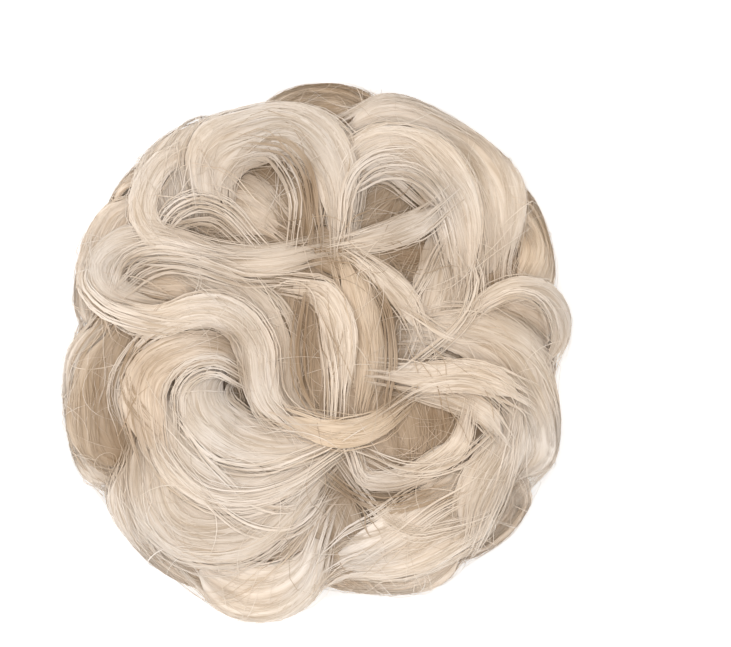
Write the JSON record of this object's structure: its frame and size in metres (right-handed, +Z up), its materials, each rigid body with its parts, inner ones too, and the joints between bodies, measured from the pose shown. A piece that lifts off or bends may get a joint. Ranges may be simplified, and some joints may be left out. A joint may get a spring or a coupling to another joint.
{
  "type": "top knot hairpiece",
  "caption": "Round messy curled bun of ash-blonde locks over a hollow base, with an elastic ring inside that grips the wearer's own bun.",
  "frame": {"origin": "on the surface that the bun rests on, under the middle of its bounding box", "axes": "+Z up through the crown, +Y to the back of the bun (the picture's top), +X to its right"},
  "size_m": [0.1488, 0.1572, 0.0662],
  "materials": {
    "pale_hair": "soft sheen, pale cream",
    "ash_hair": "soft sheen, cool ash blonde",
    "beige_hair": "soft sheen, beige blonde",
    "warm_hair": "soft sheen, warm blonde",
    "brown_hair": "dull, shaded brown",
    "elastic": "matt woven elastic"
  },
  "bodies": {
    "root": {"hair_base": "brown_hair", "elastic_band": "elastic", "lower_lock_right": "beige_hair", "lower_lock_back_right": "beige_hair", "lower_lock_back": "beige_hair", "lower_lock_back_left": "beige_hair", "lower_lock_left": "beige_hair", "lower_lock_front_left": "beige_hair", "lower_lock_front": "beige_hair", "back_under_lock": "brown_hair", "left_back_rim_curl": "beige_hair", "left_rim_curl": "beige_hair", "left_pale_curl": "pale_hair", "right_back_sliver": "beige_hair", "right_beige_curl": "warm_hair", "front_right_curl": "beige_hair", "front_curl": "beige_hair", "front_left_curl": "beige_hair", "left_front_rim_lock": "ash_hair", "left_under_hair": "brown_hair", "centre_under_hair": "brown_hair", "right_under_fan": "brown_hair", "front_under_hair": "brown_hair", "back_right_fan": "brown_hair", "right_brown_fan": "brown_hair", "right_fall_lock": "ash_hair", "right_loop_floor": "beige_hair", "centre_knot_lock": "brown_hair", "left_loop_floor": "beige_hair", "left_inner_petal": "beige_hair", "right_ash_lock": "ash_hair", "back_right_outer_lock": "ash_hair", "left_back_arch": "beige_hair", "front_left_outer_fan": "beige_hair", "front_bottom_loop": "pale_hair", "left_pale_lock": "pale_hair", "front_right_diagonal": "pale_hair", "right_inner_lock": "ash_hair", "front_left_middle_fan": "ash_hair", "back_left_broad_lock": "ash_hair", "back_right_inner_lock": "pale_hair", "arch_inner_lock": "brown_hair", "front_left_inner_fan": "pale_hair", "right_loop": "ash_hair", "centre_broad_lock": "ash_hair", "right_beige_strand": "warm_hair", "front_left_core_fan": "ash_hair", "left_swirl": "beige_hair", "left_loop": "ash_hair", "left_white_curl": "pale_hair", "left_long_curl": "pale_hair", "back_arch": "ash_hair", "back_cross_strand": "ash_hair", "centre_cross_lock": "warm_hair", "right_bright_strand": "pale_hair", "right_lower_strand": "ash_hair", "right_bright_lock": "pale_hair", "centre_bright_lock": "pale_hair", "crescent_lock": "pale_hair"}
  },
  "joints": []
}
